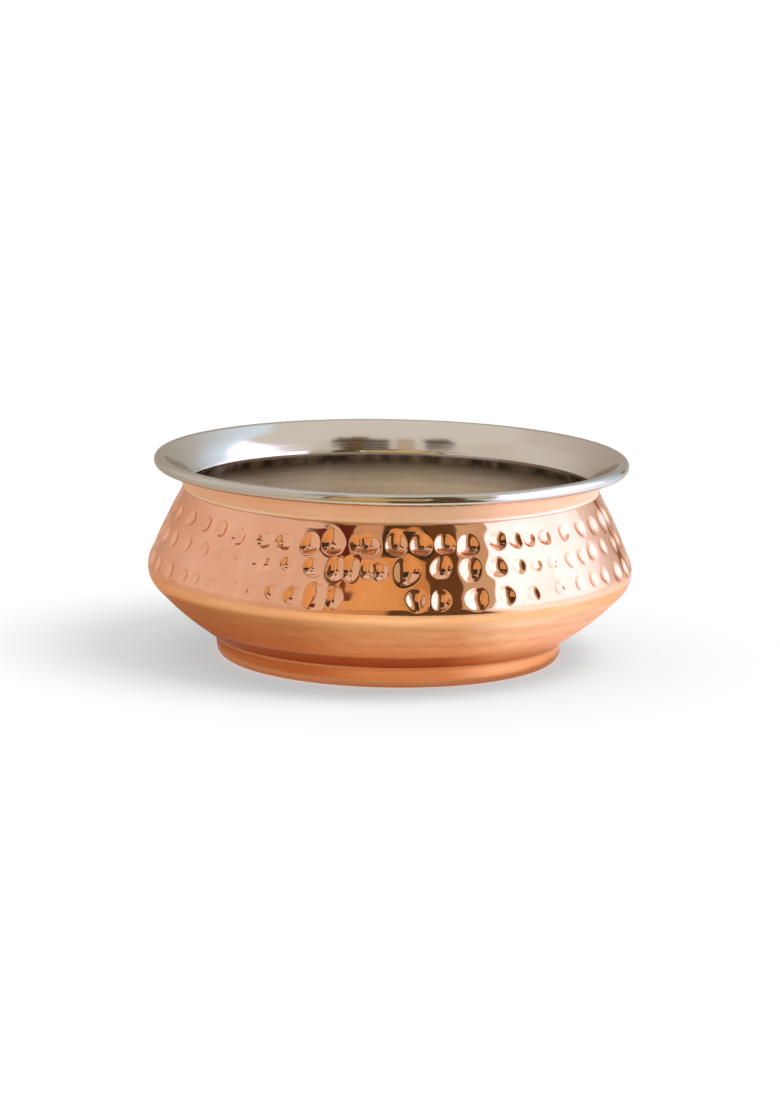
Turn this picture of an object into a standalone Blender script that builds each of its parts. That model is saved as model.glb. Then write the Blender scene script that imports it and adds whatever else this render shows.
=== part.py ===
"""Copper handi: a steel-lined serving pot with a hammered copper shell on a ring foot.

The whole pot follows one outline, the outside of the copper from under the rim to the middle
of the bottom. The shell, the liner and the foot are all laid out from it. Metres, +Z up, with
the origin on the axis at the level the foot stands on, and -Y as the front.
"""

import math
import random

import bmesh
import bpy
import numpy as np
from mathutils.geometry import delaunay_2d_cdt

# Rim: the steel rolled outwards and down over the edge of the copper
HEIGHT = 0.0620
RIM_RADIUS = 0.0728
BEAD_ROUND = 0.00185
BEAD_STEPS = 9
BEAD_BACK_STEPS = 6

# Collar: the smooth band that flares from the neck to the rim
NECK_RADIUS = 0.0635
NECK_HEIGHT = 0.0524
NECK_ROUND = 0.0008
FLARE_BULGE = 0.00065
FLARE_ROUND = 0.018
COLLAR_SHORT = 0.0004

# Body: a full shoulder, a round belly and a shallow dish down to the flat bottom
SHOULDER_BULGE = 0.00051
SHOULDER_SPREAD = 0.7
BELLY_RADIUS = 0.0744
BELLY_HEIGHT = 0.0276
BELLY_ROUND = 0.0085
DISH_SHARE = 0.68
DISH_BULGE = 0.00123
DISH_ROUND = 0.080
BOTTOM_INSET = 0.0020
BOTTOM_HEIGHT = 0.0048
BOTTOM_ROUND = 0.011
BOTTOM_SHARE = 0.18

# Sheets, and the spaces between them
COPPER_SHEET = 0.0005
STEEL_SHEET = 0.0005
FOOT_SHEET = 0.0009
CLEARANCE = 0.0003
AIR_GAP = 0.0012
ROLLED_GAP = 0.00035
AIR_GAP_RUN = 0.006
AIR_GAP_LEAD = 0.001

# Ring foot: a strip turned in at the bottom to stand on, brazed to the shell in its outer corner
FOOT_TOP_RADIUS = 0.0533
FOOT_DRAFT = 0.0007
FOOT_ROUND = 0.0027
FOOT_TURN_IN = 0.0050
BRAZE_LEG = 0.0013
BRAZE_HOLLOW = 0.42

# Hammer marks: three rows of deep round blows on the shoulder, and two rows of light ones on the
# dish. Each blow on the side seen first is its angle round from the front towards +X, how far it
# is below the neck, and how wide it is against an ordinary one. Some landed twice. The gap in the
# lowest row is a place that was left smooth. The hammer's face is a ball, so a wide blow is deep.
MARK_WIDTH = 0.0062
MARK_TALL = 0.0066
HAMMER_ROUND = 0.0100
UPPER_BLOWS = (
    (-73.5, 0.0060, 0.80), (-64.0, 0.0060, 0.85), (-56.0, 0.0061, 0.90), (-49.0, 0.0062, 0.90),
    (-41.8, 0.0075, 0.90), (-33.3, 0.0072, 0.90), (-27.5, 0.0069, 0.90), (-20.5, 0.0071, 0.95),
    (-14.5, 0.0061, 1.20), (-8.2, 0.0064, 0.70), (-5.3, 0.0064, 0.95), (1.5, 0.0060, 1.12),
    (7.8, 0.0062, 1.05), (14.0, 0.0061, 1.00), (20.0, 0.0067, 1.08), (28.3, 0.0058, 0.95),
    (33.5, 0.0061, 0.85), (37.8, 0.0063, 0.80), (43.3, 0.0063, 0.85), (51.0, 0.0060, 0.85),
    (58.5, 0.0061, 0.80),
)
MIDDLE_BLOWS = (
    (-68.5, 0.0130, 0.80), (-60.5, 0.0128, 0.75), (-52.5, 0.0129, 0.75), (-45.0, 0.0133, 0.70),
    (-39.3, 0.0133, 0.70), (-33.5, 0.0136, 0.70), (-30.0, 0.0132, 0.75), (-25.0, 0.0129, 0.85),
    (-18.8, 0.0132, 0.90), (-12.8, 0.0132, 1.00), (-9.6, 0.0132, 1.00), (-5.4, 0.0133, 0.80),
    (-2.4, 0.0133, 0.85), (4.0, 0.0132, 1.30), (12.5, 0.0125, 1.08), (19.8, 0.0132, 1.12),
    (26.8, 0.0131, 0.95), (32.8, 0.0132, 0.80), (38.0, 0.0134, 0.75), (43.5, 0.0134, 0.70),
    (49.8, 0.0136, 0.80), (55.0, 0.0134, 0.80), (59.8, 0.0129, 0.80),
)
LOWER_BLOWS = (
    (-72.0, 0.0214, 0.80), (-64.0, 0.0217, 0.80), (-57.0, 0.0214, 0.70), (-52.0, 0.0212, 0.70),
    (-45.8, 0.0219, 0.70), (-38.5, 0.0218, 0.75), (-33.5, 0.0217, 0.70), (-28.0, 0.0213, 0.80),
    (-22.5, 0.0215, 0.95), (-17.0, 0.0211, 1.30), (-13.0, 0.0212, 0.95), (6.2, 0.0212, 1.02),
    (11.9, 0.0214, 0.98), (20.5, 0.0214, 1.12), (28.0, 0.0210, 0.92), (35.3, 0.0213, 0.80),
    (43.5, 0.0208, 0.70), (50.8, 0.0204, 0.75), (56.5, 0.0205, 0.75), (62.0, 0.0204, 0.75),
)
BACK_DROPS = (0.0062, 0.0132, 0.0212)
BACK_PITCH = 7.2
BACK_WIDTHS = (0.70, 1.05)
BACK_UNEVEN = 0.0005
DISH_MARK_WIDTH = 0.0064
DISH_MARK_TALL = 0.0050
DISH_MARK_DEPTH = 0.00010
DISH_MARK_PITCH = 7.5
DISH_MARK_RISES = (0.0138, 0.0099)
DISH_MARK_SIZES = (0.85, 1.10)
DISH_MARK_UNEVEN = 0.0003
HAND_SEED = 5
HAND_UNEVEN = 0.12

# Vertices: round the pot, round each mark, and how near to a mark the rows leave one out
SEGMENTS = 44
FINE = 16
OUTER_RINGS = ((0.55, 4), (1, 7))
INNER_RINGS = ((0.62, 3),)
MARK_MARGIN = 1.12
SHARED = 0.02


def unit(vector):
    return vector / np.hypot(*vector)


def place(*coordinates):
    return np.array(coordinates, dtype=float)


def touching(point, centre, radius, side):
    """Where the line from a point touches a circle, on the side given by +1 or -1."""
    reach = point - centre
    lean = side * math.acos(radius / np.hypot(*reach))
    angle = math.atan2(reach[1], reach[0]) + lean
    return centre + radius * place(math.cos(angle), math.sin(angle))


def crossing(a, b, c, d):
    """Where the line through a and b crosses the line through c and d."""
    along, across = b - a, d - c
    scale = np.linalg.det([c - a, across]) / np.linalg.det([along, across])
    return a + scale * along


def spread_round(before, corner, after, share):
    """The radius that rounds a corner over this share of its shorter side."""
    sides = np.hypot(*(corner - before)), np.hypot(*(after - corner))
    turn = math.acos(unit(corner - before) @ unit(after - corner))
    return share * min(sides) / math.tan(turn / 2)


def rounded(corners, finer=1):
    """Rows of radius, height, outward normal and length along an outline with rounded corners.

    Each corner is its place, its radius and the steps of its arc. The first and last corners
    are the ends, and the outline runs from the top down with the outside on its left.
    """
    rows = []
    length = 0.0
    here = corners[0][0]
    for before, (corner, radius, steps), after in zip(corners, corners[1:], corners[2:]):
        heading, leaving = unit(corner - before[0]), unit(after[0] - corner)
        turn = math.atan2(np.linalg.det([heading, leaving]), heading @ leaving)
        start = corner - heading * radius * math.tan(abs(turn) / 2)
        normal = place(-heading[1], heading[0])
        rows.append((*here, *normal, length))
        length += np.hypot(*(start - here))
        centre = start + math.copysign(radius, turn) * normal
        for step in range(steps * finer + 1):
            angle = turn * step / (steps * finer)
            turned = place(
                normal[0] * math.cos(angle) - normal[1] * math.sin(angle),
                normal[0] * math.sin(angle) + normal[1] * math.cos(angle),
            )
            point = centre - math.copysign(radius, turn) * turned
            rows.append((*point, *turned, length + radius * abs(angle)))
        length += radius * abs(turn)
        here = point
    heading = unit(corners[-1][0] - here)
    normal = place(-heading[1], heading[0])
    end = corners[-1][0]
    rows.append((*end, *normal, length + np.hypot(*(end - here))))
    rows = [row for i, row in enumerate(rows) if i == 0 or row[4] > rows[i - 1][4] + 1e-9]
    return np.array(rows)


# The outline of the pot, on the outside of the copper. The collar's line is tangent to a small
# circle inside the rolled rim, so the steel that lies on it runs into the roll without a corner.
LINING = COPPER_SHEET + CLEARANCE + STEEL_SHEET
BEAD_CENTRE = place(RIM_RADIUS - BEAD_ROUND, HEIGHT - BEAD_ROUND)
COLLAR_CIRCLE = BEAD_ROUND - LINING
NECK = place(NECK_RADIUS, NECK_HEIGHT)
FLARE_RUN = touching(NECK, BEAD_CENTRE, COLLAR_CIRCLE, -1) - NECK
FLARE_MID = NECK + FLARE_RUN / 2 + FLARE_BULGE * unit(place(-FLARE_RUN[1], FLARE_RUN[0]))
COLLAR_END = touching(FLARE_MID, BEAD_CENTRE, COLLAR_CIRCLE, -1)
BELLY_CENTRE = place(BELLY_RADIUS - BELLY_ROUND, BELLY_HEIGHT)
SHOULDER_RUN = touching(NECK, BELLY_CENTRE, BELLY_ROUND, -1) - NECK
SHOULDER_MID = NECK + SHOULDER_RUN / 2 + SHOULDER_BULGE * unit(place(-SHOULDER_RUN[1], SHOULDER_RUN[0]))
SHOULDER_END = touching(SHOULDER_MID, BELLY_CENTRE, BELLY_ROUND, -1)
SHOULDER_ROUND = spread_round(NECK, SHOULDER_MID, SHOULDER_END, SHOULDER_SPREAD)
BOTTOM = place(FOOT_TOP_RADIUS - BOTTOM_INSET, BOTTOM_HEIGHT)
DISH_RUN = touching(BOTTOM, BELLY_CENTRE, BELLY_ROUND, 1) - BOTTOM
DISH_MID = BOTTOM + DISH_SHARE * DISH_RUN + DISH_BULGE * unit(place(DISH_RUN[1], -DISH_RUN[0]))
DISH_START = touching(DISH_MID, BELLY_CENTRE, BELLY_ROUND, 1)
CORNERS = [
    (COLLAR_END, 0, 0),
    (FLARE_MID, FLARE_ROUND, 2),
    (NECK, NECK_ROUND, 1),
    (SHOULDER_MID, SHOULDER_ROUND, 2),
    (crossing(SHOULDER_MID, SHOULDER_END, DISH_MID, DISH_START), BELLY_ROUND, 5),
    (DISH_MID, DISH_ROUND, 2),
    (BOTTOM, BOTTOM_ROUND, 2),
    (place(0, BOTTOM_HEIGHT), 0, 0),
]
ROWS = rounded(CORNERS)
FINE_ROWS = rounded(CORNERS, FINE)
LENGTHS = FINE_ROWS[:, 4]


def outline_at(length, depth=0.0):
    """Radius and height at a length along the outline, this deep under the copper's outside."""
    radius, height, out, up = (np.interp(length, LENGTHS, FINE_ROWS[:, i]) for i in range(4))
    return radius - depth * out, height - depth * up


def length_at(height):
    """The length along the outline where it comes down through a height."""
    return float(np.interp(-height, -FINE_ROWS[:, 1], LENGTHS))


def stations(start, end):
    """The lengths where the outline has a row of vertices, from start to end."""
    inner = [float(row[4]) for row in ROWS if start + 1e-5 < row[4] < end - 1e-5]
    return [start, *inner, end]


MIDDLE = float(LENGTHS[-1])
NECK_END = float(ROWS[[i for i, row in enumerate(ROWS) if row[1] > NECK_HEIGHT - NECK_ROUND][-1]][4])
DISH_END = length_at(BOTTOM_HEIGHT + BOTTOM_SHARE * BOTTOM_ROUND)


def air_gap(length):
    """The space from the copper to the liner: closed at the collar and bottom, open between."""
    opening = np.clip((length - NECK_END + AIR_GAP_LEAD) / AIR_GAP_RUN, 0, 1)
    closing = np.clip((DISH_END - length) / AIR_GAP_RUN, 0, 1)
    share = min(float(opening), float(closing))
    return CLEARANCE + (AIR_GAP - CLEARANCE) * share * share * (3 - 2 * share)


def blows():
    """Every hammer mark as angle, length along the outline, half width, half height and depth."""
    hand = random.Random(HAND_SEED)
    found = []
    for front, drop in zip((UPPER_BLOWS, MIDDLE_BLOWS, LOWER_BLOWS), BACK_DROPS):
        start = front[-1][0]
        behind = front[0][0] + 360 - start
        count = round(behind / BACK_PITCH)
        back = []
        for i in range(1, count):
            angle = start + behind * (i + hand.uniform(-HAND_UNEVEN, HAND_UNEVEN)) / count
            drop_here = drop + hand.uniform(-BACK_UNEVEN, BACK_UNEVEN)
            back.append((angle, drop_here, hand.uniform(*BACK_WIDTHS)))
        for angle, drop_here, width in (*front, *back):
            down = length_at(NECK_HEIGHT - drop_here)
            half = (MARK_WIDTH / 2 * width, MARK_TALL / 2 * width)
            found.append((math.radians(angle), down, *half, half[0] ** 2 / 2 / HAMMER_ROUND))
    return found


def light_blows():
    """The light marks on the dish, all spaced evenly but for the hand's unevenness."""
    hand = random.Random(HAND_SEED + 1)
    count = round(360 / DISH_MARK_PITCH)
    found = []
    for row, rise in enumerate(DISH_MARK_RISES):
        for i in range(count):
            angle = 360 * (i + row / 2 + hand.uniform(-HAND_UNEVEN, HAND_UNEVEN)) / count
            size = hand.uniform(*DISH_MARK_SIZES)
            down = length_at(BOTTOM_HEIGHT + rise) + hand.uniform(-DISH_MARK_UNEVEN, DISH_MARK_UNEVEN)
            half = (DISH_MARK_WIDTH / 2 * size, DISH_MARK_TALL / 2 * size)
            found.append((math.radians(angle), down, *half, DISH_MARK_DEPTH))
    return found


BLOWS = np.array(blows())
LIGHT_BLOWS = np.array(light_blows())


def pressed_in(angle, length, marks):
    """How far the hammer drove the sheet in here, and how near the closest mark is, 1 at its edge."""
    around = (angle - marks[:, 0] + math.pi) % (2 * math.pi) - math.pi
    across = around * outline_at(marks[:, 1])[0] / marks[:, 2]
    nearness = np.hypot(across, (length - marks[:, 1]) / marks[:, 3])
    depths = marks[:, 4] * np.clip(1 - nearness**2, 0, 1)
    return float(depths.max()), float(nearness.min())


def on_sheet(angle, length, depth):
    """The point at an angle round the pot and a length down its outline."""
    radius, height = outline_at(length, depth)
    return float(radius * math.sin(angle)), float(-radius * math.cos(angle)), float(height)


def round_angles():
    return [2 * math.pi * i / SEGMENTS for i in range(SEGMENTS)]


def mark_points(marks, rings):
    """Places in and round each mark: its middle, and rings given as share of its size and count.

    A place that lies further inside another mark is left to that one.
    """
    found = []
    for angle, length, half_width, half_tall, _ in marks:
        radius = outline_at(length)[0]
        found.append((angle, length))
        for share, count in rings:
            for i in range(count):
                way = 2 * math.pi * (i + 0.5) / count
                aside = share * half_width * math.cos(way) / radius
                spot = (angle + aside, length + share * half_tall * math.sin(way))
                if pressed_in(*spot, marks)[1] > share - SHARED:
                    found.append(spot)
    return found


def sheet_face(bm, upper, lower, start, end, places, pressed):
    """Faces of a hammered stretch between two rings of vertices, with a vertex at each place.

    The stretch is laid out flat as a ring that keeps its angles, triangulated there, and then
    bent round the pot again.
    """
    steps = np.diff(LENGTHS) / np.maximum(FINE_ROWS[1:, 0], 1e-4)
    shrink = np.concatenate([[0], np.cumsum(steps)])

    def flat(angle, length):
        out = math.exp(float(np.interp(start, LENGTHS, shrink) - np.interp(length, LENGTHS, shrink)))
        return out * math.cos(angle), out * math.sin(angle)

    spots = [flat(angle, start) for angle in round_angles()]
    spots += [flat(angle, end) for angle in round_angles()]
    spots += [flat(angle, length) for angle, length in places]
    corners = [*upper, *lower]
    corners += [bm.verts.new(on_sheet(angle, length, pressed(angle, length))) for angle, length in places]
    edges = [(i, (i + 1) % SEGMENTS) for i in range(SEGMENTS)]
    edges += [(a + SEGMENTS, b + SEGMENTS) for a, b in edges]
    laid = delaunay_2d_cdt(spots, edges, [], 0, 1e-7)
    for face in laid[2]:
        named = [laid[3][i][0] for i in face]
        if not all(SEGMENTS <= i < 2 * SEGMENTS for i in named):
            bm.faces.new([corners[i] for i in named])


def ring(bm, length, depth):
    return [bm.verts.new(on_sheet(angle, length, depth)) for angle in round_angles()]


def band(bm, upper, lower):
    """A band of faces between two rings of vertices."""
    for i in range(SEGMENTS):
        j = (i + 1) % SEGMENTS
        bm.faces.new((upper[i], upper[j], lower[j], lower[i]))


def disc(bm, edge, height):
    middle = bm.verts.new((0, 0, height))
    for i in range(SEGMENTS):
        bm.faces.new((edge[i], edge[(i + 1) % SEGMENTS], middle))


def plain_face(bm, rings):
    for upper, lower in zip(rings, rings[1:]):
        band(bm, upper, lower)


def finished(name, bm, material):
    """An object from a closed mesh, with its faces turned out and shaded smooth."""
    bmesh.ops.recalc_face_normals(bm, faces=bm.faces)
    bmesh.ops.triangulate(bm, faces=[face for face in bm.faces if len(face.verts) > 3])
    mesh = bpy.data.meshes.new(name)
    bm.to_mesh(mesh)
    bm.free()
    mesh.shade_smooth()
    mesh.set_sharp_from_angle(angle=math.radians(40))
    mesh.materials.append(material)
    piece = bpy.data.objects.new(name, mesh)
    bpy.context.collection.objects.link(piece)
    return piece


def turned(name, profile, material):
    """A solid turned round the axis from a closed profile of radius and height.

    A profile that starts and ends on the axis gives a solid that is closed in the middle.
    """
    bm = bmesh.new()
    rings = []
    for radius, height in profile:
        if radius < 1e-6:
            rings.append(None)
            continue
        places = [(radius * math.sin(a), -radius * math.cos(a), height) for a in round_angles()]
        rings.append([bm.verts.new(point) for point in places])
    for i, here in enumerate(rings):
        j = (i + 1) % len(rings)
        if here and rings[j]:
            band(bm, here, rings[j])
        elif here:
            disc(bm, here, profile[j][1])
        elif rings[j]:
            disc(bm, rings[j], profile[i][1])
    return finished(name, bm, material)


def metal(name, colour, roughness):
    material = bpy.data.materials.new(name)
    material.use_nodes = True
    shader = material.node_tree.nodes["Principled BSDF"]
    shader.inputs["Base Color"].default_value = (*colour, 1)
    shader.inputs["Metallic"].default_value = 1
    shader.inputs["Roughness"].default_value = roughness
    return material


def copper_shell(material):
    """One sheet of copper from under the rim to the bottom, with every hammer mark in it.

    The inside follows the deep marks too, with fewer vertices, so the sheet keeps its thickness.
    """
    bm = bmesh.new()
    between = stations(NECK_END, DISH_END)[1:-1]
    outside_marks = np.concatenate([BLOWS, LIGHT_BLOWS])
    outside_places = mark_points(BLOWS, OUTER_RINGS) + mark_points(LIGHT_BLOWS, ())
    faces = []
    spots = [(angle, length) for length in between for angle in round_angles()]
    for depth, marks, places in (
        (0, outside_marks, outside_places),
        (COPPER_SHEET, BLOWS, mark_points(BLOWS, INNER_RINGS)),
    ):
        free = [spot for spot in spots if pressed_in(*spot, marks)[1] > MARK_MARGIN]
        top = [ring(bm, length, depth) for length in stations(COLLAR_SHORT, NECK_END)]
        bottom = [ring(bm, length, depth) for length in stations(DISH_END, MIDDLE)[:-1]]

        def pressed(angle, length, depth=depth, marks=marks):
            return depth + pressed_in(angle, length, marks)[0]

        sheet_face(bm, top[-1], bottom[0], NECK_END, DISH_END, places + free, pressed)
        plain_face(bm, top)
        plain_face(bm, bottom)
        disc(bm, bottom[-1], BOTTOM_HEIGHT + depth)
        faces.append(top[0])
    band(bm, *faces)
    return finished("copper_shell", bm, material)


def on_bead(radius, angle):
    return tuple(BEAD_CENTRE + radius * place(math.cos(angle), math.sin(angle)))


def steel_liner(material):
    """The bowl that holds the food, spun from one steel sheet and rolled over the copper's edge."""
    start = math.atan2(*(COLLAR_END - BEAD_CENTRE)[::-1])
    end = start + math.acos((COLLAR_CIRCLE - ROLLED_GAP) / BEAD_ROUND) - 2 * math.pi

    def face(under):
        found = []
        for length in stations(0, MIDDLE):
            depth = COPPER_SHEET + air_gap(length) + under
            radius, height = outline_at(length, depth)
            found.append((float(radius), float(height)))
        found[-1] = (0.0, found[-1][1])
        return found

    def roll(radius, start, end, steps):
        return [on_bead(radius, angle) for angle in np.linspace(start, end, steps + 1)]

    bead = roll(BEAD_ROUND, start, end, BEAD_STEPS)[1:]
    bead += roll(BEAD_ROUND - STEEL_SHEET, end, start, BEAD_BACK_STEPS)[:-1]
    return turned("steel_liner", face(STEEL_SHEET)[::-1] + bead + face(0), material)


def under_dish(radius, clearance=CLEARANCE):
    """The height just below the copper's outside, at a radius inside the belly."""
    lengths = LENGTHS[LENGTHS > length_at(BELLY_HEIGHT)]
    radii, heights = outline_at(lengths, -clearance)
    return float(np.interp(radius, radii[::-1], heights[::-1]))


def foot_ring(material):
    """The foot: a copper strip bent into a ring, with its lower edge turned in."""
    top = place(FOOT_TOP_RADIUS, under_dish(FOOT_TOP_RADIUS))
    low_radius = FOOT_TOP_RADIUS - FOOT_DRAFT
    rows = rounded(
        [(top, 0, 0), (place(low_radius, 0), FOOT_ROUND, 4), (place(low_radius - FOOT_TURN_IN, 0), 0, 0)]
    )
    outside = [(float(row[0]), float(row[1])) for row in rows]
    inside = [(float(row[0] - FOOT_SHEET * row[2]), float(row[1] - FOOT_SHEET * row[3])) for row in rows]
    inner_top = (inside[0][0], under_dish(inside[0][0]))
    return turned("foot_ring", [*outside, *inside[:0:-1], inner_top], material)


def foot_braze(material):
    """The fillet of filler metal that joins the foot to the shell, in the corner outside it."""
    near = FOOT_TOP_RADIUS + CLEARANCE
    far = near + BRAZE_LEG
    low = under_dish(near) - BRAZE_LEG
    corner = place(near, under_dish(near))
    hollow = corner + BRAZE_HOLLOW * (place(far, under_dish(far)) + place(near, low) - 2 * corner)
    profile = [tuple(corner), (far, under_dish(far)), tuple(hollow), (near, low)]
    return turned("foot_braze", [tuple(map(float, point)) for point in profile], material)


for old in list(bpy.data.objects):
    bpy.data.objects.remove(old)

copper = metal("polished_copper", (0.90, 0.50, 0.33), 0.18)
handi = bpy.data.objects.new("handi", None)
bpy.context.collection.objects.link(handi)
for piece in (
    copper_shell(copper),
    steel_liner(metal("polished_steel", (0.70, 0.68, 0.65), 0.22)),
    foot_ring(copper),
    foot_braze(metal("copper_braze", (0.78, 0.40, 0.24), 0.35)),
):
    piece.parent = handi
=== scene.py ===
import cmath
import math
import random

import bpy
import numpy as np
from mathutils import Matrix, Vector, noise


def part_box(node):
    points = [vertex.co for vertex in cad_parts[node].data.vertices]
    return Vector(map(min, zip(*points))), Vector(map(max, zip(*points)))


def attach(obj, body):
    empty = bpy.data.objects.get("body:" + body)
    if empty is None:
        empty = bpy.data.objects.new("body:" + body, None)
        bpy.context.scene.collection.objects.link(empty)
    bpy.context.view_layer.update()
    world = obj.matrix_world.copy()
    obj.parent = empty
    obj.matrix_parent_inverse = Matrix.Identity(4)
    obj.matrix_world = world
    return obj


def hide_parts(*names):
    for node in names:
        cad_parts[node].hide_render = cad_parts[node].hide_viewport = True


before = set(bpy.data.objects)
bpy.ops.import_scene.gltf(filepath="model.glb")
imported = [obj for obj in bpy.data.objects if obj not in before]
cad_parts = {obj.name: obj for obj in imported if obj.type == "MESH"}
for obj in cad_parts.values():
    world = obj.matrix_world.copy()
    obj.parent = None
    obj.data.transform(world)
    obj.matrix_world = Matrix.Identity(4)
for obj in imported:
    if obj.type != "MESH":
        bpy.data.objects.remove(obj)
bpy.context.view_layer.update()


# Copper shell
# One sheet of copper, spun to a collar, a shoulder, a belly and a dish. The shoulder was planished
# by hand in three rows and polished like a mirror. Collar and dish keep the satin of the spinning.
shell_low, shell_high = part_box("copper_shell")
_, liner_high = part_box("steel_liner")

copper_sheet = 0.0005
steel_sheet = 0.0005
clearance = 0.0003
lip_radius = 0.0728
lip_round = 0.00185
lip_centre = complex(lip_radius - lip_round, liner_high.z - lip_round)
neck = complex(0.0635, 0.0524)
belly_round = 0.0085
belly_centre = complex(shell_high.x - belly_round, 0.0276)
dish_bottom = complex(0.0513, shell_low.z)
flare_bulge = 0.00065
shoulder_bulge = 0.00051
dish_bulge = -0.00123
dish_share = 0.68
tiny = 1e-7


def touching(point, centre, radius, side):
    """Where the line from a point touches a circle, on the side given by +1 or -1."""
    reach = point - centre
    return centre + cmath.rect(radius, cmath.phase(reach) + side * math.acos(radius / abs(reach)))


def crossing(a, b, c, d):
    """Where the line through a and b crosses the line through c and d."""
    along, across = b - a, d - c
    scale = ((c - a).conjugate() * across).imag / (along.conjugate() * across).imag
    return a + scale * along


def beside(start, end, share, bulge):
    """A point this share of the way from start to end, and this far to the left of the line."""
    return start + share * (end - start) + bulge * 1j * (end - start) / abs(end - start)


def bent_line(corners, reach, bend=math.radians(5)):
    """Points, outward normals and lengths along a line whose corners are rounded off.

    A point is radius + height * 1j. Straight runs have a point at least every reach, and the
    arcs at the corners one at least every bend as well.
    """
    points, normals, lengths = [], [], []
    here = corners[0][0]
    length = 0.0
    for before, (corner, round_off), after in zip(corners, corners[1:], [*corners[2:], None]):
        heading = (corner - before[0]) / abs(corner - before[0])
        turn = cmath.phase((after[0] - corner) / heading) if after else 0.0
        run = abs(corner - here) - round_off * math.tan(abs(turn) / 2)
        steps = math.ceil(run / reach) if run > tiny else 0
        for share in np.arange(steps) / max(steps, 1):
            points.append(here + heading * run * share)
            normals.append(heading * 1j)
            lengths.append(length + run * share)
        length += run
        here += heading * run
        centre = here + math.copysign(round_off, turn) * heading * 1j
        arc = round_off * abs(turn)
        steps = max(math.ceil(arc / reach), math.ceil(abs(turn) / bend)) if arc else 0
        for share in np.arange(steps) / max(steps, 1):
            normals.append(heading * 1j * cmath.rect(1, turn * share))
            points.append(centre - math.copysign(round_off, turn) * normals[-1])
            lengths.append(length + arc * share)
        length += arc
        last = heading * cmath.rect(1, turn)
        here = centre - math.copysign(round_off, turn) * last * 1j
    return (
        np.array([*points, here]),
        np.array([*normals, last * 1j]),
        np.array([*lengths, length]),
    )


lip_core = lip_round - copper_sheet - clearance - steel_sheet
flare_middle = beside(neck, touching(neck, lip_centre, lip_core, -1), 0.5, flare_bulge)
collar_end = touching(flare_middle, lip_centre, lip_core, -1)
belly_top = touching(neck, belly_centre, belly_round, -1)
shoulder_middle = beside(neck, belly_top, 0.5, shoulder_bulge)
belly_end = touching(dish_bottom, belly_centre, belly_round, 1)
dish_middle = beside(dish_bottom, belly_end, dish_share, dish_bulge)
belly_corner = crossing(
    shoulder_middle,
    touching(shoulder_middle, belly_centre, belly_round, -1),
    dish_middle,
    touching(dish_middle, belly_centre, belly_round, 1),
)
# Each corner of the outline, from the lip down to the axis, and the radius that rounds it off.
outline = [
    (collar_end, 0),
    (flare_middle, 0.018),
    (neck, 0.0008),
    (shoulder_middle, 0.190),
    (belly_corner, belly_round),
    (dish_middle, 0.080),
    (dish_bottom, 0.011),
    (complex(0, dish_bottom.imag), 0),
]
exact_reach = 0.0002
exact_points, exact_normals, exact_lengths = bent_line(outline, exact_reach)


def outline_at(length, depth=0.0):
    """The point this far down the pot's outline and this deep under the copper's outside."""
    point = np.interp(length, exact_lengths, exact_points)
    return point - depth * np.interp(length, exact_lengths, exact_normals)


def length_at(height):
    """How far down the outline it comes past a height."""
    return float(np.interp(-height, -exact_points.imag, exact_lengths))


# The blows on the side seen first, each as its angle round from the front towards +X, how far it
# is below the neck, and how wide it is against an ordinary one. Some landed twice.
upper_blows = (
    (-73.5, 0.0060, 0.80), (-64.0, 0.0060, 0.85), (-56.0, 0.0061, 0.90), (-49.0, 0.0062, 0.90),
    (-41.8, 0.0075, 0.90), (-33.3, 0.0072, 0.90), (-27.5, 0.0069, 0.90), (-20.5, 0.0071, 0.95),
    (-14.5, 0.0061, 1.20), (-8.2, 0.0064, 0.70), (-5.3, 0.0064, 0.95), (1.5, 0.0060, 1.12),
    (7.8, 0.0062, 1.05), (14.0, 0.0061, 1.00), (20.0, 0.0067, 1.08), (28.3, 0.0058, 0.95),
    (33.5, 0.0061, 0.85), (37.8, 0.0063, 0.80), (43.3, 0.0063, 0.85), (51.0, 0.0060, 0.85),
    (58.5, 0.0061, 0.80),
)
middle_blows = (
    (-68.5, 0.0130, 0.80), (-60.5, 0.0128, 0.75), (-52.5, 0.0129, 0.75), (-45.0, 0.0133, 0.70),
    (-39.3, 0.0133, 0.70), (-33.5, 0.0136, 0.70), (-30.0, 0.0132, 0.75), (-25.0, 0.0129, 0.85),
    (-18.8, 0.0132, 0.90), (-12.8, 0.0132, 1.00), (-9.6, 0.0132, 1.00), (-5.4, 0.0133, 0.80),
    (-2.4, 0.0133, 0.85), (4.0, 0.0132, 1.30), (12.5, 0.0125, 1.08), (19.8, 0.0132, 1.12),
    (26.8, 0.0131, 0.95), (32.8, 0.0132, 0.80), (38.0, 0.0134, 0.75), (43.5, 0.0134, 0.70),
    (49.8, 0.0136, 0.80), (55.0, 0.0134, 0.80), (59.8, 0.0129, 0.80),
)
lower_blows = (
    (-72.0, 0.0214, 0.80), (-64.0, 0.0217, 0.80), (-57.0, 0.0214, 0.70), (-52.0, 0.0212, 0.70),
    (-45.8, 0.0219, 0.70), (-38.5, 0.0218, 0.75), (-33.5, 0.0217, 0.70), (-28.0, 0.0213, 0.80),
    (-22.5, 0.0215, 0.95), (-17.0, 0.0211, 1.30), (-13.0, 0.0212, 0.95), (6.2, 0.0212, 1.02),
    (11.9, 0.0214, 0.98), (20.5, 0.0214, 1.12), (28.0, 0.0210, 0.92), (35.3, 0.0213, 0.80),
    (43.5, 0.0208, 0.70), (50.8, 0.0204, 0.75), (56.5, 0.0205, 0.75), (62.0, 0.0204, 0.75),
)
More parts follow.
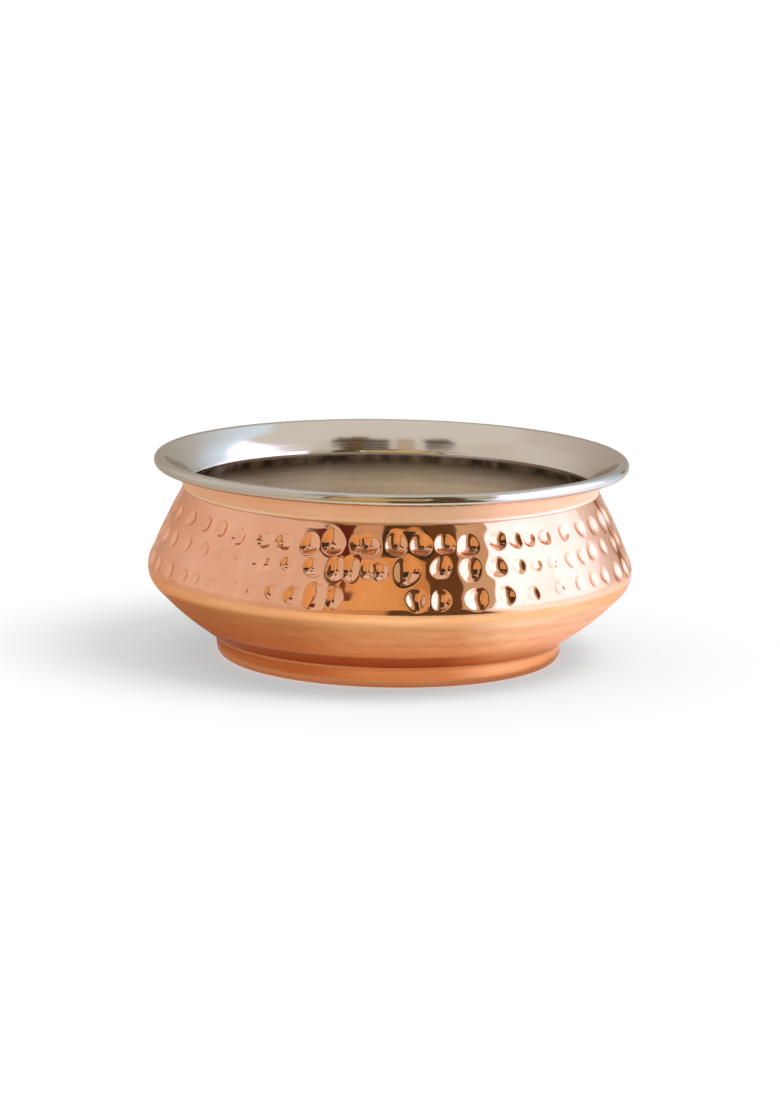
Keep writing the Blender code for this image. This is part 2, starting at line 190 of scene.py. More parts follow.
# Each row, and how far below the neck it goes on round the back.
deep_rows = ((upper_blows, 0.0062), (middle_blows, 0.0132), (lower_blows, 0.0212))
deep_pitch = 7.2
deep_sizes = (0.70, 1.05)
deep_stray = 0.0005
blow_wide = 0.0061
blow_tall = 0.0065
hammer_round = 0.0042
deepest = 0.00100
light_heights = (0.0186, 0.0147)
light_pitch = 7.5
light_sizes = (0.85, 1.1)
light_stray = 0.0003
light_wide = 0.0064
light_tall = 0.0050
light_deep = 0.00030
pitch_stray = 0.12


def deep_blows():
    """Every deep blow: angle, length down the outline, half width, half height and depth.

    Round the back the rows go on at an even pitch, and each blow strays a little from it.
    """
    hand = random.Random(5)
    found = []
    for front, row_drop in deep_rows:
        start = front[-1][0]
        behind = front[0][0] + 360 - start
        count = round(behind / deep_pitch)
        back = []
        for i in range(1, count):
            angle = start + behind * (i + hand.uniform(-pitch_stray, pitch_stray)) / count
            drop = row_drop + hand.uniform(-deep_stray, deep_stray)
            back.append((angle, drop, hand.uniform(*deep_sizes)))
        for angle, drop, size in (*front, *back):
            half_wide = blow_wide / 2 * size
            deep = min(half_wide**2 / 2 / hammer_round, deepest)
            down = length_at(neck.imag - drop)
            found.append((math.radians(angle), down, half_wide, blow_tall / 2 * size, deep))
    return found


def light_blows():
    """Every light blow on the dish, in the same form. The second row falls between the first."""
    hand = random.Random(6)
    count = round(360 / light_pitch)
    found = []
    for row, height in enumerate(light_heights):
        for i in range(count):
            angle = 2 * math.pi * (i + row / 2 + hand.uniform(-pitch_stray, pitch_stray)) / count
            size = hand.uniform(*light_sizes)
            down = length_at(height) + hand.uniform(-light_stray, light_stray)
            found.append((angle, down, light_wide / 2 * size, light_tall / 2 * size, light_deep))
    return found


blow_reach = 1.6
soft_rims = (0.05, 0.14)
oval_share = 0.10
corner_share = 0.08


def hammered(angles, lengths):
    """How deep the hammer went at each length and angle. No blow is quite round or quite sharp.

    A blow is a bowl whose rim is softened by a share of its depth, twice as much on a deep one.
    """
    hand = random.Random(7)
    depth = np.zeros((len(lengths), len(angles)))
    for angle, down, half_wide, half_tall, deep in (*deep_blows(), *light_blows()):
        edge = hand.uniform(*soft_rims) * (2 if deep > light_deep else 1)
        oval = hand.uniform(0, 2 * math.pi)
        corner = hand.uniform(0, 2 * math.pi)
        rows = np.flatnonzero(abs(lengths - down) < blow_reach * half_tall)
        across = (angles - angle + math.pi) % (2 * math.pi) - math.pi
        across = across * outline_at(down).real / half_wide
        columns = np.flatnonzero(abs(across) < blow_reach)
        across, along = np.meshgrid(across[columns], (lengths[rows] - down) / half_tall)
        turn = np.arctan2(along, across)
        near = across**2 + along**2
        near *= 1 + oval_share * np.cos(2 * turn + oval) + corner_share * np.cos(3 * turn + corner)
        inside = 1 - near
        blow = deep * (inside + np.sqrt(inside**2 + edge**2)) / 2
        blow -= deep * edge**2 / 4 / np.maximum(near, 1)
        window = np.ix_(rows, columns)
        depth[window] = np.maximum(depth[window], np.maximum(blow, 0))
    return depth


wave_heights = (0.0515, 0.0270)
wave_run = 0.002
wave_size = 0.006
wave_deep = 0.000085


def waviness(angles, lengths):
    """The slight unevenness that planishing leaves between the blows, on the shoulder."""
    top, low = map(length_at, wave_heights)
    fade = np.clip(np.minimum(lengths - top, low - lengths) / wave_run, 0, 1)
    found = np.zeros((len(lengths), len(angles)))
    for row in np.flatnonzero(fade):
        radius = outline_at(lengths[row]).real
        for column, angle in enumerate(angles):
            place = Vector((radius * math.cos(angle), radius * math.sin(angle), lengths[row]))
            found[row, column] = fade[row] * wave_deep * (1 + noise.noise(place / wave_size))
    return found


def ring_points(angles, lengths, depth):
    """Rings of points round the pot, one for each length, at depths under the copper's outside."""
    line = np.interp(lengths, exact_lengths, exact_points)
    normal = np.interp(lengths, exact_lengths, exact_normals)
    spot = line[:, None] - depth * normal[:, None]
    return np.stack(
        [spot.real * np.sin(angles), -spot.real * np.cos(angles), spot.imag + 0 * angles], axis=2
    )


def finish_mesh(name, points, faces, material):
    """A piece made of these points and faces, shaded smooth, in one material."""
    mesh = bpy.data.meshes.new(name)
    mesh.from_pydata(points, [], faces)
    mesh.shade_smooth()
    mesh.materials.append(material)
    piece = bpy.data.objects.new(name, mesh)
    bpy.context.scene.collection.objects.link(piece)
    return piece


def joined_rings(rings, loop=False):
    """Points and faces of a surface whose rings of points run from the top down on its outside.

    A ring of one point closes the surface on the axis. A ring with half or twice as many points
    as the one before it is stitched to it with triangles.
    """
    starts = np.cumsum([0, *(len(ring) for ring in rings)])
    pairs = list(zip(range(len(rings)), range(1, len(rings))))
    faces = []
    for a, b in [*pairs, (len(rings) - 1, 0)] if loop else pairs:
        many, few = len(rings[a]), len(rings[b])
        upper = [starts[a] + i % many for i in range(many + 1)]
        lower = [starts[b] + i % few for i in range(few + 1)]
        if many == 1:
            faces += [(upper[0], lower[i], lower[i + 1]) for i in range(few)]
        elif few == 1:
            faces += [(upper[i], lower[0], upper[i + 1]) for i in range(many)]
        elif many == few:
            faces += [(upper[i], lower[i], lower[i + 1], upper[i + 1]) for i in range(many)]
        elif many > few:
            for i in range(few):
                j = 2 * i
                faces.append((upper[j], lower[i], upper[j + 1]))
                faces.append((upper[j + 1], lower[i], lower[i + 1]))
                faces.append((upper[j + 1], lower[i + 1], upper[j + 2]))
        else:
            for i in range(many):
                j = 2 * i
                faces.append((upper[i], lower[j], lower[j + 1]))
                faces.append((upper[i], lower[j + 1], upper[i + 1]))
                faces.append((upper[i + 1], lower[j + 1], lower[j + 2]))
    return np.concatenate(rings), faces


def node(tree, kind, sockets=(), **options):
    """A shader node with its options set and its sockets given values or links."""
    made = tree.nodes.new("ShaderNode" + kind)
    for option, value in options.items():
        setattr(made, option, value)
    for name, value in dict(sockets).items():
        if isinstance(value, bpy.types.NodeSocket):
            tree.links.new(value, made.inputs[name])
        else:
            made.inputs[name].default_value = value
    return made


def ranged(tree, value, low, high, to_low=0.0, to_high=1.0):
    """The value's stretch from low to high, spread over another range and held at its ends."""
    sockets = {"Value": value, "From Min": low, "From Max": high, "To Min": to_low, "To Max": to_high}
    return node(tree, "MapRange", sockets).outputs["Result"]


def mixed(tree, share, first, second):
    """A colour between the first and the second."""
    made = node(tree, "Mix", {0: share, 6: first, 7: second}, data_type="RGBA")
    return made.outputs[2]


def between(tree, share, first, second):
    """A value between the first and the second."""
    return node(tree, "Mix", {0: share, 2: first, 3: second}).outputs[0]


def product(tree, first, second):
    """One value times another."""
    return node(tree, "Math", {0: first, 1: second}, operation="MULTIPLY").outputs[0]


def streaks(tree, place, around, along, detail=3.0):
    """Noise drawn out round the pot, with so many grains to the metre round it and down it."""
    stretched = node(tree, "Mapping", {"Vector": place, "Scale": (around, around, along)})
    sockets = {"Vector": stretched.outputs[0], "Scale": 1.0, "Detail": detail}
    return node(tree, "TexNoise", sockets).outputs[0]


def new_metal(name, roughness):
    """A bare metal, its node tree and its shader, for a finish to build on."""
    material = bpy.data.materials.new(name)
    material.use_nodes = True
    shader = material.node_tree.nodes["Principled BSDF"]
    shader.inputs["Metallic"].default_value = 1
    shader.inputs["Roughness"].default_value = roughness
    return material, material.node_tree, shader


# Where one finish gives way to the next: the heights at which the change starts and ends. The crease
# under the collar, the lower dish and a band just above the foot are darkened as painted shade, and
# the band's painted shade fades out towards +X as well, where the light falls.
collar_fade = (neck.imag - 0.0008, neck.imag - 0.0006)
crease_shade_fade = (neck.imag - 0.0003, neck.imag - 0.0007)
dish_fade = (0.0267, 0.0263)
low_dish_shade_fade = (0.0230, 0.0110)
foot_band_shade_fade = (0.0113, 0.0104)
shade_side_fade = (0.032, 0.016)
noise_spread = (0.3, 0.7)
wear_spread = (0.35, 0.65)
mirror_rough = (0.04, 0.09)
satin_rough = (0.30, 0.42)
collar_rough = 0.55
mop_depth = 0.000008


def copper_finish():
    """A mirror on the shoulder between two satin stretches, with the marks of the polishing mop.

    The dish is painted redder and darker on its way down to the foot, and darkest in a band just
    above it, as painted shade. A thin line of painted shade lies in the crease under the collar, and
    the collar is painted paler than the shoulder as painted light.
    """
    material, tree, shader = new_metal("hammered_copper", 0.08)
    shader.inputs["Specular Tint"].default_value = (0.88, 0.72, 0.63, 1)
    place = node(tree, "TexCoord").outputs["Object"]
    height = node(tree, "SeparateXYZ", {"Vector": place}).outputs["Z"]
    collar = ranged(tree, height, *collar_fade)
    crease_shade = ranged(tree, height, *crease_shade_fade)
    dish = ranged(tree, height, *dish_fade)
    low_dish_shade = ranged(tree, height, *low_dish_shade_fade)
    side = node(tree, "SeparateXYZ", {"Vector": place}).outputs["X"]
    # A band of the dish just above the foot is painted dark: painted shade and painted reflection of
    # the foot and the shadowed floor, fading out towards +X, where the light falls.
    foot_band_shade = product(tree, ranged(tree, height, *foot_band_shade_fade), ranged(tree, side, *shade_side_fade))
    cloud = node(tree, "TexNoise", {"Vector": place, "Scale": 60.0, "Detail": 3.0}).outputs[0]
    cloudy = ranged(tree, cloud, *noise_spread)
    spun = streaks(tree, place, around=12.0, along=2400.0)
    wiped = streaks(tree, place, around=45.0, along=500.0, detail=5.0)
    wear = ranged(tree, wiped, *wear_spread)
    shoulder_tone = mixed(tree, cloudy, (0.85, 0.45, 0.29, 1), (0.94, 0.54, 0.37, 1))
    high_tone = mixed(tree, wear, (0.92, 0.49, 0.25, 1), (0.99, 0.60, 0.35, 1))
    # Down the dish towards the foot the copper is painted redder and darker: painted shade and
    # painted copper-coloured bounce light.
    shaded_low_tone = mixed(tree, wear, (0.89, 0.32, 0.115, 1), (0.96, 0.40, 0.165, 1))
    dish_tone = mixed(tree, low_dish_shade, high_tone, shaded_low_tone)
    dish_tone = mixed(tree, foot_band_shade, dish_tone, (0.56, 0.14, 0.040, 1))
    # The collar's copper is painted far paler than the shoulder's: painted light for the bright
    # satin.
    collar_light_and_shade = mixed(tree, wear, (0.99, 0.75, 0.56, 1), (1.0, 0.83, 0.66, 1))
    # A thin band just under the neck is painted dark: painted shade in the crease under the collar.
    collar_light_and_shade = mixed(tree, crease_shade, collar_light_and_shade, (0.60, 0.27, 0.13, 1))
    tone = mixed(tree, dish, mixed(tree, collar, shoulder_tone, collar_light_and_shade), dish_tone)
    tree.links.new(tone, shader.inputs["Base Color"])
    mirror = ranged(tree, cloud, *noise_spread, *mirror_rough)
    satin = ranged(tree, spun, *noise_spread, *satin_rough)
    rough = between(tree, collar, between(tree, dish, mirror, satin), collar_rough)
    tree.links.new(rough, shader.inputs["Roughness"])
    mopped = node(tree, "Bump", {"Strength": 1.0, "Distance": mop_depth, "Height": wiped})
    tree.links.new(mopped.outputs["Normal"], shader.inputs["Normal"])
    return material


def hammered_rings(around, start, end, reach, depth=0.0):
    """Rings of the hammered sheet from one length to another, with this many points round each."""
    angles = np.arange(around) * 2 * math.pi / around
    lengths = np.linspace(start, end, round((end - start) / reach) + 1)[:-1]
    pressed = hammered(angles, lengths) + waviness(angles, lengths)
    return list(ring_points(angles, lengths, depth + pressed))


shell_top = 0.0004
mirror_under_belly = 0.0030
flat_step = 0.00002
shoulder_top = length_at(collar_fade[0])
shoulder_end = length_at(belly_centre.imag - mirror_under_belly)
flat_start = length_at(shell_low.z + flat_step)
inner = hammered_rings(360, shell_top, flat_start, reach=0.0012, depth=copper_sheet)
outer = hammered_rings(720, shell_top, shoulder_top, reach=0.0004)
outer += hammered_rings(1440, shoulder_top, shoulder_end, reach=0.0003)
outer += hammered_rings(720, shoulder_end, flat_start, reach=0.0005)
inside_bottom = np.array([[0, 0, shell_low.z + copper_sheet]])
points, faces = joined_rings([inside_bottom, *inner[::-1], *outer, np.array([[0, 0, shell_low.z]])])
copper = copper_finish()
copper_shell = finish_mesh("hammered_shell", points, faces, copper)
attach(copper_shell, "root")
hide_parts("copper_shell")


# Steel liner
# The bowl that holds the food: one sheet of stainless steel, spun to a floor, a rounded wall, a
# throat and a flare, then rolled outwards and down over the copper's edge to make the lip.
air_gap = 0.0012
gap_run = 0.006
gap_start = shoulder_top - 0.001
gap_end = length_at(shell_low.z + 0.0020)
rolled_gap = 0.00035
roll_steps = 24


def lining(lengths, under):
    """Points of the liner's sheet, with the air space between it and the copper."""
    opening = np.clip((lengths - gap_start) / gap_run, 0, 1)
    closing = np.clip((gap_end - lengths) / gap_run, 0, 1)
    share = np.minimum(opening, closing)
    gap = clearance + (air_gap - clearance) * share * share * (3 - 2 * share)
    return outline_at(lengths, copper_sheet + gap + under)


def on_lip(radius, start, end, steps):
    """Points on a circle round the middle of the lip's roll, from one angle to another."""
    return lip_centre + radius * np.exp(1j * np.linspace(start, end, steps))


def turned_piece(name, profile, material, loop, segments=480):
    """A piece turned round the axis from a profile of radius + height * 1j."""
    turn = np.arange(segments) * 2 * math.pi / segments
    rings = []
    for spot in profile:
        if spot.real < tiny:
            rings.append(np.array([[0, 0, spot.imag]]))
        else:
            level = np.full(segments, spot.imag)
            ring = [spot.real * np.sin(turn), -spot.real * np.cos(turn), level]
            rings.append(np.stack(ring, axis=1))
    return finish_mesh(name, *joined_rings(rings, loop), material)


throat_shade_fade = (0.0440, 0.0515)
throat_uneven = 0.004
patch_spread = (0.38, 0.62)
flare_fade = (neck.imag, neck.imag - 0.001)
roll_fade = (0.0708, 0.0716)
scoured_fade = (0.030, 0.015)
polished_rough = (0.10, 0.17)
scoured_rough = 0.55


def steel_finish():
    """Spun and polished steel, with fine turned lines all the way from the lip to the floor.

    The roll of the lip is a little darker than the flare. In the bowl the steel is painted paler than
    the flare, as painted light, and under the throat it is painted dark in patches, as painted shade
    under the overhang. The bottom of the bowl is dull.
    """
    material, tree, shader = new_metal("polished_steel", 0.2)
    shader.inputs["Specular Tint"].default_value = (0.74, 0.72, 0.68, 1)
    shader.inputs["Anisotropic"].default_value = 0.6
    shader.inputs["Anisotropic Rotation"].default_value = 0.25
    tangent = node(tree, "Tangent", direction_type="RADIAL", axis="Z")
    tree.links.new(tangent.outputs[0], shader.inputs["Tangent"])
    place = node(tree, "TexCoord").outputs["Object"]
    split = node(tree, "SeparateXYZ", {"Vector": place}).outputs
    height = split["Z"]
    flat = node(tree, "VectorMath", {0: place, 1: (1, 1, 0)}, operation="MULTIPLY").outputs[0]
    radius = node(tree, "VectorMath", {0: flat}, operation="LENGTH").outputs["Value"]
    down = node(tree, "Math", {0: height, 1: radius}).outputs[0]
    turned = node(tree, "CombineXYZ", {"X": split["X"], "Y": split["Y"], "Z": down}).outputs[0]
    spun = streaks(tree, turned, around=10.0, along=1800.0)
    lines = ranged(tree, spun, *noise_spread)
    wiped = streaks(tree, place, around=160.0, along=60.0)
    patchy = ranged(tree, wiped, *patch_spread)
    uneven = node(tree, "Math", {0: height, 1: product(tree, wiped, throat_uneven)}).outputs[0]
    lip_tone = mixed(tree, spun, (0.56, 0.55, 0.52, 1), (0.62, 0.61, 0.58, 1))
    flare_tone = mixed(tree, spun, (0.64, 0.61, 0.56, 1), (0.70, 0.67, 0.62, 1))
    # Under the throat the steel is painted dark in patches: painted shade under the overhang.
    throat_shade_tone = mixed(tree, patchy, (0.060, 0.049, 0.038, 1), (0.23, 0.19, 0.15, 1))
    # The bowl's steel is painted much paler than the flare: painted light for the bright reflections
    # inside it.
    bowl_light_and_shade = mixed(tree, lines, (0.80, 0.74, 0.65, 1), (0.95, 0.89, 0.80, 1))
    bowl_light_and_shade = mixed(tree, ranged(tree, uneven, *throat_shade_fade), bowl_light_and_shade, throat_shade_tone)
    in_bowl = ranged(tree, height, *flare_fade)
    on_roll = ranged(tree, radius, *roll_fade)
    tone = mixed(tree, on_roll, mixed(tree, in_bowl, flare_tone, bowl_light_and_shade), lip_tone)
    tree.links.new(tone, shader.inputs["Base Color"])
    polished = ranged(tree, spun, *noise_spread, *polished_rough)
    rough = between(tree, ranged(tree, height, *scoured_fade), polished, scoured_rough)
    tree.links.new(rough, shader.inputs["Roughness"])
    return material


liner_reach = 0.0012
_, _, liner_lengths = bent_line(outline, liner_reach)
food_side = lining(liner_lengths, steel_sheet)
back_side = lining(liner_lengths, 0.0)
food_side[-1] = complex(0, food_side[-1].imag)
back_side[-1] = complex(0, back_side[-1].imag)
roll_start = cmath.phase(collar_end - lip_centre)
roll_end = roll_start + math.acos((lip_core - rolled_gap) / lip_round) - 2 * math.pi
profile = np.concatenate(
    [
        food_side[::-1],
        on_lip(lip_round, roll_start, roll_end, 2 * roll_steps)[1:],
        on_lip(lip_round - steel_sheet, roll_end, roll_start, roll_steps)[:-1],
        back_side,
    ]
)
steel_metal = steel_finish()
steel_liner = turned_piece("spun_liner", profile, steel_metal, loop=False)
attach(steel_liner, "root")
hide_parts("steel_liner")


# Ring foot
# A strip of copper bent to a ring and polished, its lower edge turned in to stand on. Its copper is
# painted darker and redder than the shoulder's, and darker still near the lower edge, as painted
# shade. It is brazed to the dish all round.
foot_top_radius = 0.0533
foot_low_radius = 0.0526
foot_round = 0.0027
foot_inner_radius = 0.0476
foot_sheet = 0.0009
foot_reach = 0.0006
edge_shade_fade = (0.0024, 0.0006)
edge_shade_share = 0.8
top_shade_fade = (0.0066, 0.0072)
foot_rough = (0.20, 0.32)


def under_dish(radius, below=clearance):
    """The height this far below the copper's outside, at a radius inside the belly."""
    lengths = exact_lengths[exact_lengths > length_at(belly_centre.imag)]
    line = outline_at(lengths, -below)
    return float(np.interp(radius, line.real[::-1], line.imag[::-1]))


def foot_finish(name, dark, light, top_shade=None):
    """Turned copper, polished less than the shoulder, with fine lines round it, and painted darker
    near its lower edge as painted shade where it stands.

    A top shade, where given, takes over at the top as painted shade, fading out towards +X.
    """
    material, tree, shader = new_metal(name, 0.26)
    shader.inputs["Specular Tint"].default_value = (0.84, 0.66, 0.56, 1)
    place = node(tree, "TexCoord").outputs["Object"]
    split = node(tree, "SeparateXYZ", {"Vector": place}).outputs
    spun = streaks(tree, place, around=30.0, along=900.0)
    tone = mixed(tree, ranged(tree, spun, *noise_spread), (*dark, 1), (*light, 1))
    # Near the lower edge the copper is painted darker: painted shade where the foot stands on the
    # table.
    edge_shade = ranged(tree, split["Z"], *edge_shade_fade, 0.0, edge_shade_share)
    tone = mixed(tree, edge_shade, tone, (0.62, 0.21, 0.08, 1))
    if top_shade:
        # A top shade is painted shade that darkens the top, fading out towards +X, where the light
        # falls.
        high = ranged(tree, split["Z"], *top_shade_fade)
        top_shade_share = product(tree, high, ranged(tree, split["X"], *shade_side_fade))
        tone = mixed(tree, top_shade_share, tone, (*top_shade, 1))
    tree.links.new(tone, shader.inputs["Base Color"])
    rough = ranged(tree, spun, *noise_spread, *foot_rough)
    tree.links.new(rough, shader.inputs["Roughness"])
    return material


foot_wall, foot_normals, _ = bent_line(
    [
        (complex(foot_top_radius, under_dish(foot_top_radius)), 0),
        (complex(foot_low_radius, 0), foot_round),
        (complex(foot_inner_radius, 0), 0),
    ],
    foot_reach,
)
foot_inside = (foot_wall - foot_sheet * foot_normals)[::-1]
foot_inside[-1] = complex(foot_inside[-1].real, under_dish(foot_inside[-1].real))
# The foot's copper is painted darker and redder than the shoulder's: painted shade for the shadowed
# floor that it mirrors.
foot_copper = foot_finish("foot_copper", (0.86, 0.30, 0.11), (0.95, 0.41, 0.18))
foot_ring = turned_piece("standing_ring", [*foot_wall, *foot_inside], foot_copper, loop=True)
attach(foot_ring, "root")
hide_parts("foot_ring")


# Braze
# The filler metal that joins the foot to the shell: a fillet in the outer corner, wiped smooth
# and polished over until it runs into both without a line. Its copper is painted dark as shade in
# the corner, darkest at its top.
braze_round = 0.0030
braze_soaked = 0.00036
dish_run = 0.0060
one_run = 0.02
dish_far = complex(foot_top_radius + dish_run, under_dish(foot_top_radius + dish_run, 0.0))
corner = complex(foot_top_radius, under_dish(foot_top_radius, 0.0))
wall_low = complex(foot_low_radius, 0)
# The fillet is tangent to the dish above it and to the foot's wall below it. Each straight run is
# one step of the line, so what lies between the line's two ends is the bend alone.
bend, _, _ = bent_line([(dish_far, 0), (corner, braze_round), (wall_low, 0)], one_run)
soaked = corner + complex(-braze_soaked, braze_soaked)
# The braze's copper is painted darker than the foot's, and darker still at its top: painted shade in
# the corner between dish and foot.
braze = foot_finish(
    "copper_braze", (0.80, 0.28, 0.10), (0.88, 0.37, 0.16), top_shade=(0.50, 0.125, 0.035)
)
foot_braze = turned_piece("filler_fillet", [soaked, *bend[1:-1]], braze, loop=True)
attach(foot_braze, "root")
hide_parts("foot_braze")


# Studio
# A pale floor, plain soft light, and cards that stand or lie round the pot for the metal to
# reflect. Only reflections show the cards: they throw no light on the floor and no shadow.
card_steps = 25
laid_steps = 12
over_floor = 0.002
laid_level = 0.001


def glow(name, stops):
    """Light for mirrors only: it is off for light that has touched the floor on its way.

    Each stop is an angle from the front and the colour there.
    """
    material = bpy.data.materials.new(name)
    material.use_nodes = True
    tree = material.node_tree
    tree.nodes.remove(tree.nodes["Principled BSDF"])
    bounces = node(tree, "LightPath").outputs["Diffuse Depth"]
    brightest = max(1.0, max(max(colour) for _, colour in stops))
    strength = ranged(tree, bounces, 0.0, 1.0, brightest, 0.0)
    place = node(tree, "SeparateXYZ", {"Vector": node(tree, "TexCoord").outputs["Object"]}).outputs
    front = product(tree, place["Y"], -1.0)
    side = node(tree, "Math", {0: place["X"], 1: front}, operation="ARCTAN2").outputs[0]
    ramp = node(tree, "ValToRGB", {"Fac": ranged(tree, side, -math.pi, math.pi)})
    elements = ramp.color_ramp.elements
    elements.remove(elements[1])
    for i, (angle, colour) in enumerate(stops):
        element = elements.new(angle / 360 + 0.5) if i else elements[0]
        element.position = angle / 360 + 0.5
        element.color = (*(part / brightest for part in colour), 1)
    emission = node(tree, "Emission", {"Color": ramp.outputs["Color"], "Strength": strength})
    tree.links.new(emission.outputs["Emission"], tree.nodes["Material Output"].inputs["Surface"])
    return material


def card(name, sides, profile, stops, lean=0.0):
    """A card bent round the pot, between two angles from the front, along a profile.

    The profile's far end is turned by the lean against its start. The stops are angles and the
    colours there, or one colour for the whole card.
    """
    if not isinstance(stops[0], tuple):
        stops = [(0, stops)]
    across = np.radians(np.linspace(*sides, card_steps))
    leans = np.radians(np.linspace(0, lean, len(profile)))
    points = [
        (reach * math.sin(side + turn), -reach * math.cos(side + turn), level)
        for (reach, level), turn in zip(profile, leans)
        for side in across
    ]
    faces = [
        (row + i, row + i + 1, row + card_steps + i + 1, row + card_steps + i)
        for row in range(0, card_steps * (len(profile) - 1), card_steps)
        for i in range(card_steps - 1)
    ]
    piece = finish_mesh(name, points, faces, glow(name, stops))
    piece.visible_camera = False
    piece.visible_diffuse = False
    piece.visible_shadow = False


def wall(name, sides, heights, stops, distance=1.5, lean=0.0):
    """A standing card, between two angles from the front and two elevations."""
    up = np.radians(np.linspace(*heights, card_steps))
    profile = [(distance * math.cos(rise), distance * math.sin(rise) + over_floor) for rise in up]
    card(name, sides, profile, stops, lean)


def laid(name, reach, stops):
    """A card laid flat all round the pot, just over the floor, between two radii."""
    profile = [(radius, laid_level) for radius in np.geomspace(*reach, laid_steps)]
    card(name, (-179.9, 179.9), profile, stops)


def to_eye(tree):
    """1 for what the camera sees itself or in the metal, 0 for light on its way to the object."""
    path = node(tree, "LightPath").outputs
    sockets = {0: path["Is Camera Ray"], 1: path["Is Glossy Ray"]}
    return node(tree, "Math", sockets, operation="MAXIMUM").outputs[0]


floor_edge = 6
floor_grey = 0.70
floor_lift = 0.43
floor_mesh = bpy.data.meshes.new("floor")
floor_corners = [(x * floor_edge, y * floor_edge, 0) for x, y in ((-1, -1), (1, -1), (1, 1), (-1, 1))]
floor_mesh.from_pydata(floor_corners, [], [(0, 1, 2, 3)])
floor = bpy.data.objects.new("floor", floor_mesh)
bpy.context.scene.collection.objects.link(floor)
floor_paint = bpy.data.materials.new("floor")
floor_paint.use_nodes = True
tree = floor_paint.node_tree
tree.nodes.remove(tree.nodes["Principled BSDF"])
lit = node(tree, "BsdfDiffuse", {"Color": (floor_grey, floor_grey, floor_grey, 1)})
lift = node(tree, "Emission", {"Strength": ranged(tree, to_eye(tree), 0.0, 1.0, 0.0, floor_lift)})
total = node(tree, "AddShader", {0: lit.outputs[0], 1: lift.outputs[0]})
tree.links.new(total.outputs[0], tree.nodes["Material Output"].inputs["Surface"])
floor_mesh.materials.append(floor_paint)

# The room is a plain grey light, warm where the metal mirrors it and white behind the pot. What
# the copper throws on the floor starts out blue, so that it leaves no orange there.
room_grey = (0.52, 0.52, 0.52, 1)
room_in_metal = (0.86, 0.79, 0.72, 1)
room_thrown = (0.0, 0.35, 0.7, 1)
backdrop = (1, 1, 1, 1)
world = bpy.data.worlds.new("studio")
bpy.context.scene.world = world
world.use_nodes = True
tree = world.node_tree
path = node(tree, "LightPath").outputs
in_metal = mixed(tree, ranged(tree, path["Diffuse Depth"], 0, 1), room_in_metal, room_thrown)
ambient = mixed(tree, path["Is Glossy Ray"], room_grey, in_metal)
seen = mixed(tree, path["Is Camera Ray"], ambient, backdrop)
tree.links.new(seen, tree.nodes["Background"].inputs[0])

# Each card: its name, the angles and heights that it spans, and its colour, or its colours at
# angles from the front.
wall(
    "left_wall",
    (-179.9, -27),
    (0, 56),
    [
        (-179, (0.60, 0.53, 0.47)),
        (-150, (0.66, 0.57, 0.51)),
        (-125, (0.79, 0.70, 0.64)),
        (-106, (0.836, 0.76, 0.71)),
        (-75, (0.78, 0.69, 0.60)),
    ],
)
wall("red_band", (-47, -20), (38.5, 46), (0.127, 0.034, 0.021), distance=1.38)
wall("red_strip", (-25, -20), (30, 39), (0.20, 0.07, 0.04), distance=1.38)
wall(
    "tan_wall",
    (-30, 30),
    (0, 40),
    [
        (-30, (0.72, 0.47, 0.21)),
        (-15, (0.84, 0.55, 0.24)),
        (5, (0.76, 0.48, 0.20)),
        (18, (0.62, 0.38, 0.16)),
    ],
    distance=1.42,
)
wall("tan_edge", (-31.5, -28.5), (0, 40), (0.12, 0.07, 0.04), distance=1.41)
wall("pale_panel", (-20, -4), (39, 68), (0.61, 0.46, 0.32), distance=1.40)
wall("olive_band", (-4, 32), (39, 56), (0.055, 0.044, 0.026), distance=1.38)
wall("dark_strip", (16, 34), (0, 70), (0.14, 0.08, 0.033), distance=1.36, lean=8)
wall("dark_top", (-54, -29), (58, 67), (0.10, 0.07, 0.05), distance=1.37)
wall("dark_corner", (2, 52), (58, 67), (0.10, 0.07, 0.05), distance=1.37)
wall("bright_line", (16.2, 17.6), (12, 34), (1.6, 1.5, 1.3), distance=1.34, lean=2.5)
wall("grey_wall", (20, 48), (0, 55), (0.63, 0.56, 0.40), distance=1.44, lean=13)
wall("right_box", (47, 122), (0, 47), [(90, (2.2, 2.0, 2.75)), (122, (1.6, 1.6, 2.1))], distance=1.46)
wall(
    "back_wall",
    (122, 179.9),
    (0, 60),
    [(122, (1.0, 1.2, 1.45)), (150, (0.66, 0.65, 0.64)), (179, (0.60, 0.53, 0.47))],
)
wall("back_shade", (145, 150), (0, 14), (0.35, 0.22, 0.15), distance=1.45)
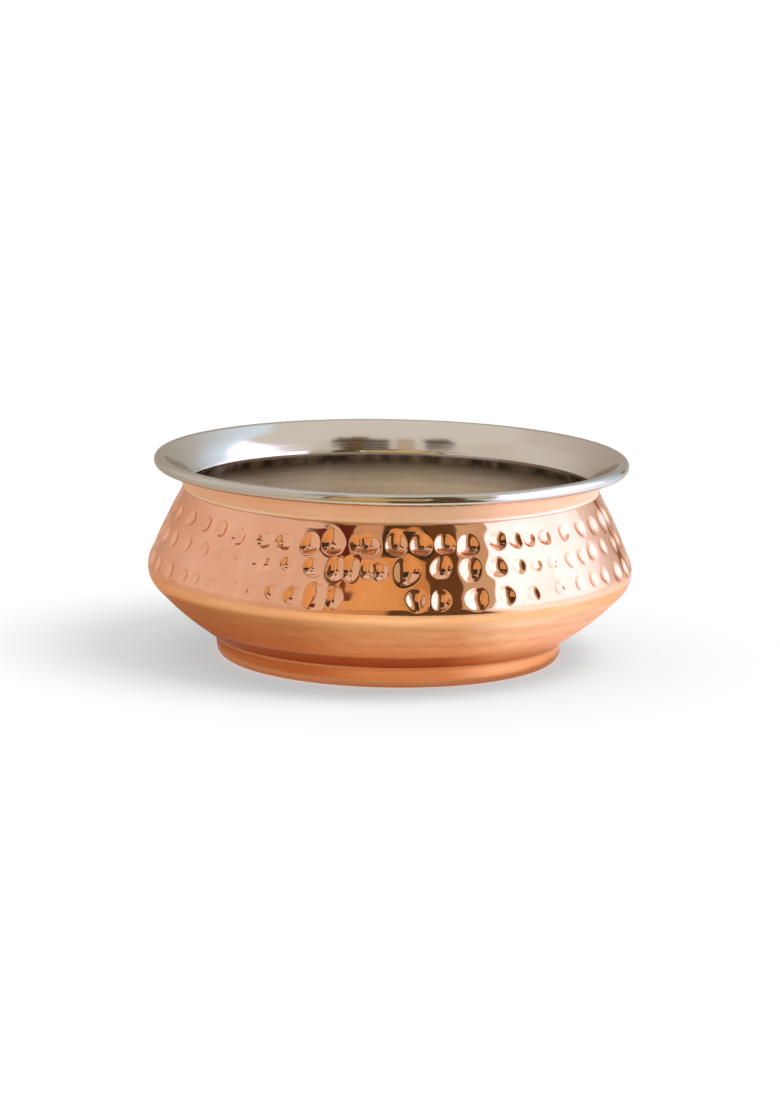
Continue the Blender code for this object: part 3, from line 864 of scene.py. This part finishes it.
laid(
    "far_floor",
    (0.130, 1.3),
    [
        (-179, (0.72, 0.60, 0.52)),
        (-32, (0.74, 0.60, 0.45)),
        (-30, (0.68, 0.44, 0.22)),
        (-2, (0.62, 0.38, 0.17)),
        (0, (0.13, 0.078, 0.035)),
        (37, (0.13, 0.078, 0.035)),
        (40, (0.8, 0.75, 0.68)),
        (50, (1.8, 1.7, 2.0)),
        (120, (1.4, 1.4, 1.6)),
        (150, (0.8, 0.78, 0.76)),
        (179, (0.72, 0.60, 0.52)),
    ],
)
laid(
    "pale_floor",
    (0.087, 0.130),
    [
        (-179, (0.62, 0.44, 0.32)),
        (-60, (0.80, 0.62, 0.48)),
        (-30, (0.95, 0.80, 0.62)),
        (-8, (1.15, 1.05, 0.85)),
        (40, (1.08, 1.0, 0.85)),
        (120, (1.05, 1.0, 0.95)),
        (179, (0.62, 0.44, 0.32)),
    ],
)
laid(
    "near_floor",
    (0.056, 0.087),
    [
        (-179, (0.40, 0.28, 0.20)),
        (-60, (0.42, 0.27, 0.18)),
        (-30, (0.48, 0.31, 0.21)),
        (-8, (0.68, 0.54, 0.41)),
        (22, (0.72, 0.58, 0.46)),
        (42, (1.10, 1.18, 1.35)),
        (130, (1.10, 1.18, 1.35)),
        (179, (0.40, 0.28, 0.20)),
    ],
)

sun_lamp = bpy.data.lights.new("sun", "SUN")
sun_lamp.energy = 1.35
sun_lamp.angle = math.radians(40)
sun = bpy.data.objects.new("sun", sun_lamp)
to_sun = Vector((0.54, -0.15, 0.83))
sun.rotation_euler = to_sun.to_track_quat("Z", "Y").to_euler()
sun.visible_glossy = False
bpy.context.scene.collection.objects.link(sun)

camera_data = bpy.data.cameras.new("camera")
camera_data.sensor_width = 36
camera_data.lens = 141.5
camera = bpy.data.objects.new("camera", camera_data)
bpy.context.scene.collection.objects.link(camera)
aim = Vector((0, 0, 0.0310))
rise = math.radians(10.6)
away = 1.34
roll = math.radians(1.0)
camera.location = aim + away * Vector((0, -math.cos(rise), math.sin(rise)))
camera.rotation_euler = (aim - camera.location).to_track_quat("-Z", "Y").to_euler()
camera.rotation_euler.rotate_axis("Z", roll)
bpy.context.scene.camera = camera

bpy.context.scene.view_settings.view_transform = "Standard"
